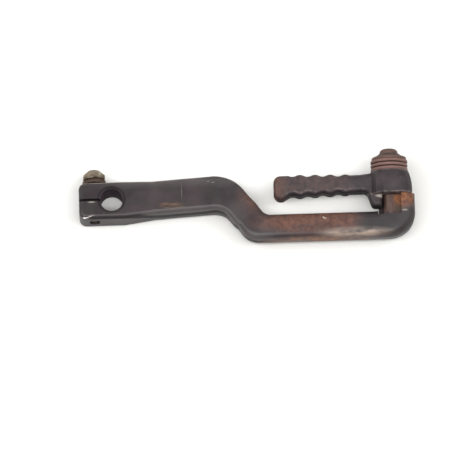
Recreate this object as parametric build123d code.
from build123d import *
import math
import os

# Kick start lever with a folding pedal, in millimetres.
# The origin is on the axis of the serrated bore, at the middle of the clamp's thickness.
# +Z runs up along the bore, and +X runs from the bore to the pedal's pivot.
# The pedal is drawn folded, lying back along the arm.

# Clamp
clamp_width = 24.0
clamp_thickness = 16.5
clamp_end_reach = 20.3
clamp_reach = 8.0
clamp_edge_radius = 2.6
clamp_corner_radius = 4.4
slit_width = 1.6

# Serrated bore
bore_tip_radius = 7.0
bore_root_radius = 7.5
bore_tooth_count = 36
bore_groove_width = 0.68
bore_chamfer = 1.5

# Pinch bolt and its spring washer
bolt_crest_radius = 4.0
bolt_core_radius = 3.35
bolt_axis_offset = 10.7
bolt_head_flats = 13.0
bolt_head_height = 6.0
bolt_head_end_radius = 3.9
bolt_head_turn = 37.0
bolt_tip_recess = 1.6
bolt_tip_chamfer = 0.7
bolt_thread_gap = 0.05
bolt_hole_gap = 0.15
washer_outer_radius = 7.4
washer_bore_gap = 0.15
washer_thickness = 2.0
washer_free_rise = 1.7
washer_split_angle = 12.0

# Plan of the arm's bar
run_width = 22.4
run_angle = 3.5
run_length = 71.4
run_taper_length = 18.0
joggle_width = 18.0
joggle_end_reach = 89.9
lower_run_offset = 20.5
lower_run_width = 16.4
bend_outer_radius = 22.0
bend_inner_radius = 11.0
joggle_inner_radius = 7.0
joggle_outer_radius = 11.5

# Thickness of the bar and rounding of its long edges
run_thickness = 14.0
run_level = -0.75
lower_run_thickness = 14.5
run_edge_radius = 3.4
lower_run_edge_radius = 5.0

# Pivot post at the end of the arm
pivot_distance = 172.9
pivot_height = 5.75
pivot_lean = 10.0
post_end_drop = 2.4
post_right_reach = 15.0
post_left_reach = 7.4
post_height = 9.5
post_depth = 11.8
post_edge_radius = 7.0
elbow_outer_radius = 16.0
elbow_inner_radius = 0.8

# Stop recess in the post, round the pin
stop_reach = 6.4
ledge_reach = 2.4
ledge_height = 4.0
recess_reach = 8.0
recess_depth = 15.0

# Pivot pin and its peened head
pin_radius = 4.2
pin_seat_depth = 22.0
pin_press_gap = 0.01
pin_running_gap = 0.06
pin_head_radius = 5.7
pin_head_height = 3.2
pin_head_rim_height = 0.6
pin_head_end_radius = 2.4
pin_end_chamfer = 0.8

# Pedal hub
hub_face_gap = 0.1
hub_facet_top = 16.5
hub_facet_reach = 9.0
hub_facet_height = 10.4
hub_flank_reach = 11.8
hub_flank_height = 5.6
hub_width = 26.7
hub_belly_width = 27.0
hub_belly_height = 3.0
hub_shoulder_width = 26.3
hub_shoulder_height = 6.0
hub_corner_radius = 8.5
hub_height = 12.7
hub_top_width = 23.4
hub_top_radius = 11.5
spigot_height = 3.0
spigot_gap = 0.5

# Stop tongue under the hub
tongue_length = 9.8
tongue_root_reach = 14.4
tongue_tip_reach = 11.2
tongue_inner_root_reach = 4.8
tongue_inner_tip_reach = 5.5
tongue_corner_radius = 2.6
tongue_heel_radius = 1.3
tongue_blend_radius = 3.0
stop_gap = 0.2

# Foot bar of the pedal
bar_reach = 72.2
bar_root_width = 11.0
bar_root_offset = 5.1
bar_end_width = 13.0
bar_end_offset = 4.9
flare_drop = 0.4
flare_reach = 19.0
neck_reach = 25.1
ridge_count = 4
ridge_depth = 1.2
lip_height = 2.2
lip_length = 5.7
lip_slope_length = 3.7
lip_radius = 3.4
lip_tip_radius = 4.4
bar_tip_radius = 4.2
pedal_edge_radius = 2.6

# Pivot spring and the dished washer above it
spring_outer_radius = 11.5
spring_band_width = 3.0
spring_band_thickness = 2.1
spring_edge_radius = 0.9
spring_turn_count = 3
spring_turn_gap = 0.35
spring_step_angle = 50.0
spring_seat_gap = 0.05
cup_rim_radius = 10.7
cup_rim_width = 1.6
cup_crown_radius = 6.4
cup_dish_height = 2.2
cup_wall_thickness = 1.8
cup_edge_radius = 0.6
cup_bore_gap = 0.2


def smooth(share):
    """A step from 0 to 1 that starts and ends level."""
    share = min(max(share, 0.0), 1.0)
    return share * share * (3.0 - 2.0 * share)


def between(first, last, share):
    """The value at a share of the way from first to last."""
    return first + (last - first) * share


def heading_point(start, heading, distance):
    """The point that lies a distance from start along a heading in degrees."""
    angle = math.radians(heading)
    return start + Vector(math.cos(angle), math.sin(angle)) * distance


def side_line(start, end, offset):
    """The line from start to end, moved to its left by an offset."""
    along = (end - start).normalized()
    left = Vector(-along.Y, along.X)
    return start + left * offset, end + left * offset


def crossing(first, second):
    """The point where two lines, each given by two points, cross."""
    along_first = first[1] - first[0]
    along_second = second[1] - second[0]
    apart = second[0] - first[0]
    share = apart.cross(along_second).Z / along_first.cross(along_second).Z
    return first[0] + along_first * share


# The pivot's own frame: X along the folded pedal, Y up, Z along the pin to its head
lean_angle = math.radians(pivot_lean)
pin_direction = Vector(0, math.cos(lean_angle), math.sin(lean_angle))
pivot_up = Vector(0, -math.sin(lean_angle), math.cos(lean_angle))
pivot_plane = Plane(origin=(pivot_distance, 0, pivot_height), x_dir=(-1, 0, 0), z_dir=pin_direction)

# Centre line of the bar in plan
bore_centre = Vector(0, 0)
run_start = heading_point(bore_centre, run_angle, clamp_reach + run_taper_length)
run_end = heading_point(bore_centre, run_angle, run_length)
joggle_foot = Vector(joggle_end_reach, -lower_run_offset)
elbow_corner = Vector(pivot_distance, -lower_run_offset)


def bar_edge(side, corner_radii, post_side):
    """One edge of the bar in plan: the side lines of its runs, crossed, with rounded corners."""
    run_side = side_line(run_start, run_end, side * run_width / 2)
    joggle_side = side_line(run_end, joggle_foot, side * joggle_width / 2)
    lower_side = side_line(joggle_foot, elbow_corner, side * lower_run_width / 2)
    post_end = -post_end_drop * math.cos(lean_angle)
    post_line = (Vector(post_side, -lower_run_offset), Vector(post_side, post_end))
    return FilletPolyline(
        Vector(clamp_reach, side * clamp_width / 2),
        run_side[0],
        crossing(run_side, joggle_side),
        crossing(joggle_side, lower_side),
        crossing(lower_side, post_line),
        post_line[1],
        radius=[0, *corner_radii],
    ).edges()


far_edge = bar_edge(
    1,
    [bend_outer_radius, joggle_inner_radius, elbow_inner_radius],
    pivot_distance - post_left_reach,
)
near_edge = bar_edge(
    -1,
    [bend_inner_radius, joggle_outer_radius, elbow_outer_radius],
    pivot_distance + post_right_reach,
)

# Form of the bar by place: whole numbers are the starts of the taper, run, bend, joggle, bend,
# lower run, elbow and post
thickness_by_place = {
    0: clamp_thickness,
    1: run_thickness,
    3: run_thickness,
    5: lower_run_thickness,
    6: lower_run_thickness,
    7: post_height + post_depth,
    8: post_height + post_depth,
}
edge_radius_by_place = {
    0: clamp_edge_radius,
    1: run_edge_radius,
    3: run_edge_radius,
    5: lower_run_edge_radius,
    6: lower_run_edge_radius,
    7: post_edge_radius,
    8: post_edge_radius,
}
level_by_place = {
    0: 0.0,
    1: run_level,
    8: run_level,
}
lean_by_place = {0: 0.0, 2: 0.0, 5: 1.0, 8: 1.0}
lift_by_place = {0: 0.0, 6: 0.0, 7: (post_height - post_depth) / 2, 8: (post_height - post_depth) / 2}
bar_stretches = [
    [0, 1],
    [1, 2],
    [2, 2.25, 2.5, 2.75, 3, 3.5, 4, 4.25, 4.5, 4.75, 5],
    [5, 6],
    [6, 6.25, 6.5, 6.75, 7],
    [7, 8],
]


def at_place(table, place):
    """The value of a table at a place, eased between the places that it lists."""
    marks = sorted(table)
    for first, last in zip(marks, marks[1:]):
        if place <= last:
            return between(table[first], table[last], smooth((place - first) / (last - first)))
    return table[marks[-1]]


def raised(point, place):
    """A plan point lifted to the bar's middle, which turns from level into the pivot's plane."""
    level = at_place(level_by_place, place)
    leaning = pivot_height + point.Y * math.tan(lean_angle)
    return Vector(point.X, point.Y, between(level, leaning, at_place(lean_by_place, place)))


def bar_section(place):
    """The bar's rounded section at a place, set between its two edges."""
    index = min(int(place), len(far_edge) - 1)
    far = raised(far_edge[index] @ (place - index), place)
    near = raised(near_edge[index] @ (place - index), place)
    across = (far - near).normalized()
    lean = at_place(lean_by_place, place)
    up = Vector(0, 0, 1) * (1 - lean) + pivot_up * lean
    middle = (far + near) * 0.5 + pivot_up * at_place(lift_by_place, place)
    plane = Plane(origin=middle, x_dir=across, z_dir=across.cross(up))
    section = RectangleRounded(
        (far - near).length,
        at_place(thickness_by_place, place),
        at_place(edge_radius_by_place, place),
    )
    return plane * section


def clamp_block():
    """The clamp's plain block, with rounded edges, up to where the bar starts."""
    from_end = (Align.MIN, Align.CENTER, Align.CENTER)
    block = Box(clamp_end_reach + clamp_reach, clamp_width, clamp_thickness, align=from_end)
    block = Pos(-clamp_end_reach, 0, 0) * block
    block = fillet(block.edges().filter_by(Axis.Z).group_by(Axis.X)[0], clamp_corner_radius)
    joined = block.faces().sort_by(Axis.X)[-1].edges()
    rims = block.edges().group_by(Axis.Z)
    long_edges = [edge for edge in rims[0] + rims[-1] if edge not in joined]
    return fillet(long_edges, clamp_edge_radius)


def serrated_bore():
    """The bore as a cutter: a round hole, a ring of grooves and a chamfer at each rim."""
    groove = Polygon(
        (0, -bore_groove_width / 2),
        (bore_root_radius - bore_tip_radius, 0),
        (0, bore_groove_width / 2),
        (-bore_groove_width, 0),
        align=None,
    )
    outline = Circle(bore_tip_radius)
    outline += PolarLocations(bore_tip_radius, bore_tooth_count) * groove
    cutter = extrude(outline, clamp_thickness / 2, both=True)
    rim = Cone(
        bore_tip_radius,
        bore_tip_radius + bore_chamfer,
        bore_chamfer,
        align=(Align.CENTER, Align.CENTER, Align.MIN),
    )
    upper_rim = Pos(0, 0, clamp_thickness / 2 - bore_chamfer) * rim
    return cutter + upper_rim + mirror(upper_rim, Plane.XY)


# The bolt's own frame: its axis on Z, pointing to the head, with Z = 0 at the slit's middle
bolt_plane = Plane(origin=(-bolt_axis_offset, 0, 0), x_dir=(-1, 0, 0), z_dir=(0, 1, 0))
bolt_seat = clamp_width / 2 + washer_thickness + washer_free_rise


def bolt_holes():
    """The bolt's clear hole in the far jaw and its tapped hole in the near jaw."""
    jaw = clamp_width / 2
    low = (Align.CENTER, Align.CENTER, Align.MIN)
    high = (Align.CENTER, Align.CENTER, Align.MAX)
    clear_hole = Cylinder(bolt_crest_radius + bolt_hole_gap, jaw, align=low)
    tapped_hole = Cylinder(bolt_core_radius + bolt_thread_gap, jaw, align=high)
    return bolt_plane.location * (clear_hole + tapped_hole)


def lever_arm():
    """The arm's forging: clamp, joggled bar and pivot post, with its bores and cuts."""
    bar = Part() + [loft([bar_section(place) for place in places]) for places in bar_stretches]
    slit = Box(clamp_end_reach, slit_width, clamp_thickness, align=(Align.MAX, Align.CENTER, Align.CENTER))
    recess_outline = Polygon(
        (ledge_reach, -stop_reach),
        (recess_reach, -stop_reach),
        (recess_reach, post_height + post_depth),
        (-stop_reach, post_height + post_depth),
        (-stop_reach, ledge_height),
        (ledge_reach, ledge_height),
        align=None,
    )
    recess = extrude(recess_outline, -recess_depth)
    pin_seat = Cylinder(
        pin_radius + pin_press_gap, pin_seat_depth, align=(Align.CENTER, Align.CENTER, Align.MAX)
    )
    arm = clamp_block() + bar
    arm -= serrated_bore()
    arm -= slit
    arm -= bolt_holes()
    arm -= pivot_plane.location * (recess + pin_seat)
    return arm


def pinch_bolt():
    """Hex head bolt: a head with worn, sloped corners and a threaded shank drawn at its core size."""
    tip = -clamp_width / 2 + bolt_tip_recess
    hexagon = RegularPolygon(bolt_head_flats / 2, 6, major_radius=False)
    head = extrude(Rot(0, 0, bolt_head_turn) * hexagon, bolt_head_height)
    low = (Align.CENTER, Align.CENTER, Align.MIN)
    crown = Cone(bolt_head_end_radius + bolt_head_height, bolt_head_end_radius, bolt_head_height, align=low)
    shank = Pos(0, 0, tip) * Cylinder(bolt_core_radius, bolt_seat - tip, align=low)
    shank = chamfer(shank.faces().sort_by(Axis.Z)[0].edges(), bolt_tip_chamfer)
    return bolt_plane.location * (Pos(0, 0, bolt_seat) * (head & crown) + shank)


def lock_washer():
    """Split spring washer at rest: a flat band wound one turn, so that its ends stand apart."""
    bore_radius = bolt_crest_radius + washer_bore_gap
    band = washer_outer_radius - bore_radius
    middle_radius = (washer_outer_radius + bore_radius) / 2
    lead = washer_free_rise * 360.0 / (360.0 - washer_split_angle)
    path = Helix(lead, washer_free_rise, middle_radius)
    start = Plane(origin=path @ 0, x_dir=(1, 0, 0), z_dir=path % 0)
    axis_line = Line((0, 0, 0), (0, 0, washer_free_rise))
    coil = sweep(start * Rectangle(band, washer_thickness), path=path, binormal=axis_line)
    return bolt_plane.location * (Pos(0, 0, clamp_width / 2 + washer_thickness / 2) * coil)


# Levels of the spring's two ends along the pin
spring_pitch = spring_band_thickness + spring_turn_gap
spring_seat = hub_height + spring_seat_gap
cup_seat = spring_seat + (spring_turn_count - 1) * spring_pitch + spring_band_thickness


def pivot_pin():
    """Pin that is pressed into the post, with a domed head peened over the dished washer."""
    head_seat = cup_seat + cup_dish_height + cup_wall_thickness
    head_end = head_seat + pin_head_height
    rim_point = (pin_head_radius, head_seat + pin_head_rim_height)
    end_point = (pin_head_end_radius, head_end)
    outline = Polyline(
        end_point,
        (0, head_end),
        (0, -pin_seat_depth),
        (pin_radius - pin_end_chamfer, -pin_seat_depth),
        (pin_radius, -pin_seat_depth + pin_end_chamfer),
        (pin_radius, head_seat),
        (pin_head_radius, head_seat),
        rim_point,
    )
    profile = make_face(outline + TangentArc(rim_point, end_point, tangent=(0, 1)))
    return pivot_plane.location * revolve(Plane.XZ * profile, Axis.Z)


def cup_washer():
    """Dished washer: a flat rim on the spring, a sloped wall and a raised crown round the pin."""
    crown_level = cup_seat + cup_dish_height
    bore_radius = pin_radius + cup_bore_gap
    rim_inner = cup_rim_radius - cup_rim_width
    under = [
        (cup_rim_radius, cup_seat),
        (rim_inner, cup_seat),
        (cup_crown_radius, crown_level),
        (bore_radius, crown_level),
    ]
    over = [(radius, level + cup_wall_thickness) for radius, level in reversed(under)]
    profile = make_face(Polyline(*under, *over, close=True))
    washer = revolve(Plane.XZ * profile, Axis.Z)
    rim_edges = washer.edges().filter_by(GeomType.CIRCLE).sort_by(SortBy.RADIUS)[-2:]
    return pivot_plane.location * fillet(rim_edges, cup_edge_radius)


def spring_section(angle, level):
    """The spring's rounded band, cut across at an angle round the pin and a level along it."""
    band = RectangleRounded(spring_band_width, spring_band_thickness, spring_edge_radius)
    place = Pos(spring_outer_radius - spring_band_width / 2, 0, level)
    return Rot(0, 0, angle) * place * (Plane.XZ * band)


def pivot_spring():
    """Flat-wound spring: level turns round the pin, each joined to the next by a short step under it."""
    turn_start = spring_step_angle / 2 - 90.0
    turn_angle = 360.0 - spring_step_angle
    step_shares = [0.0, 0.25, 0.5, 0.75, 1.0]
    first_level = spring_seat + spring_band_thickness / 2
    spring = Part()
    for turn in range(spring_turn_count):
        level = first_level + turn * spring_pitch
        spring += revolve(spring_section(turn_start, level), Axis.Z, turn_angle)
    for turn in range(spring_turn_count - 1):
        level = first_level + turn * spring_pitch
        step = [
            spring_section(
                turn_start + turn_angle + share * spring_step_angle,
                level + smooth(share) * spring_pitch,
            )
            for share in step_shares
        ]
        spring += loft(step)
    return pivot_plane.location * spring


def ridge_line(side):
    """One edge of the foot bar: ridges and hollows as arcs along a straight line, from the neck out."""
    wave_count = 2 * ridge_count
    root = Vector(neck_reach, bar_root_offset + side * bar_root_width / 2)
    end_reach = bar_reach - lip_length - lip_slope_length
    end = Vector(end_reach, bar_end_offset + side * bar_end_width / 2)
    outward = Vector(0, side * ridge_depth / 2)
    arcs = Curve()
    for wave in range(wave_count):
        first = root + (end - root) * (wave / wave_count)
        last = root + (end - root) * ((wave + 1) / wave_count)
        bulge = outward if wave % 2 == 0 else outward * -1
        arcs += ThreePointArc(first, (first + last) * 0.5 + bulge, last)
    return arcs, root, end


def pedal_profile():
    """The pedal in plan: foot bar with ridges and an end lip, neck, and stop tongue under the hub."""
    far_ridges, far_root, far_end = ridge_line(1)
    near_ridges, near_root, near_end = ridge_line(-1)
    far_side = FilletPolyline(
        far_end,
        Vector(bar_reach, far_end.Y),
        Vector(bar_reach, near_end.Y - lip_height),
        Vector(bar_reach - lip_length, near_end.Y - lip_height),
        near_end,
        radius=[bar_tip_radius, lip_tip_radius, lip_radius],
    )
    neck_far = Vector(flare_reach, far_root.Y)
    neck_near = Vector(tongue_root_reach, near_root.Y)
    tongue_side = FilletPolyline(
        near_root,
        neck_near,
        Vector(tongue_tip_reach, -tongue_length),
        Vector(tongue_inner_tip_reach, -tongue_length),
        Vector(tongue_inner_root_reach, hub_belly_height),
        Vector(tongue_inner_root_reach, hub_height - flare_drop),
        neck_far,
        far_root,
        radius=[tongue_blend_radius, tongue_corner_radius, tongue_heel_radius, 0, 0, tongue_blend_radius],
    )
    return make_face(far_side + tongue_side + far_ridges + near_ridges)


def kick_pedal():
    """The pedal's forging: hub, stop tongue, neck and ridged foot bar."""
    half_height = stop_reach - stop_gap
    blade = extrude(Plane.XZ * pedal_profile(), half_height, both=True)
    blade = fillet(blade.faces().filter_by(Axis.Y).edges(), pedal_edge_radius)
    levels = [
        (hub_face_gap - post_end_drop, hub_width, hub_corner_radius),
        (hub_belly_height, hub_belly_width, hub_corner_radius),
        (hub_shoulder_height, hub_shoulder_width, hub_corner_radius),
        (hub_height, hub_top_width, hub_top_radius),
    ]
    sections = [
        Pos(0, 0, level) * RectangleRounded(width, width, radius) for level, width, radius in levels
    ]
    hub = loft(sections)
    pedal_side = [
        (0, hub_facet_top),
        (hub_facet_reach, hub_facet_height),
        (hub_flank_reach, hub_flank_height),
    ]
    under_side = [(reach, -height) for reach, height in reversed(pedal_side)]
    far_side = [(-hub_belly_width, -hub_facet_top), (-hub_belly_width, hub_facet_top)]
    trim = Polygon(*pedal_side, *under_side, *far_side, align=None)
    hub &= extrude(trim, hub_belly_width, both=True)
    spigot_radius = spring_outer_radius - spring_band_width - spigot_gap
    spigot = Cylinder(spigot_radius, spigot_height, align=(Align.CENTER, Align.CENTER, Align.MIN))
    hub += Pos(0, 0, hub_height) * spigot
    bore = Cylinder(pin_radius + pin_running_gap, 2 * hub_belly_width)
    return pivot_plane.location * (hub + blade - bore)


pieces = {
    "lever_arm": lever_arm(),
    "pinch_bolt": pinch_bolt(),
    "lock_washer": lock_washer(),
    "pivot_pin": pivot_pin(),
    "cup_washer": cup_washer(),
    "pivot_spring": pivot_spring(),
    "kick_pedal": kick_pedal(),
}
os.makedirs("parts", exist_ok=True)
for name, piece in pieces.items():
    export_step(piece, f"parts/{name}.step")
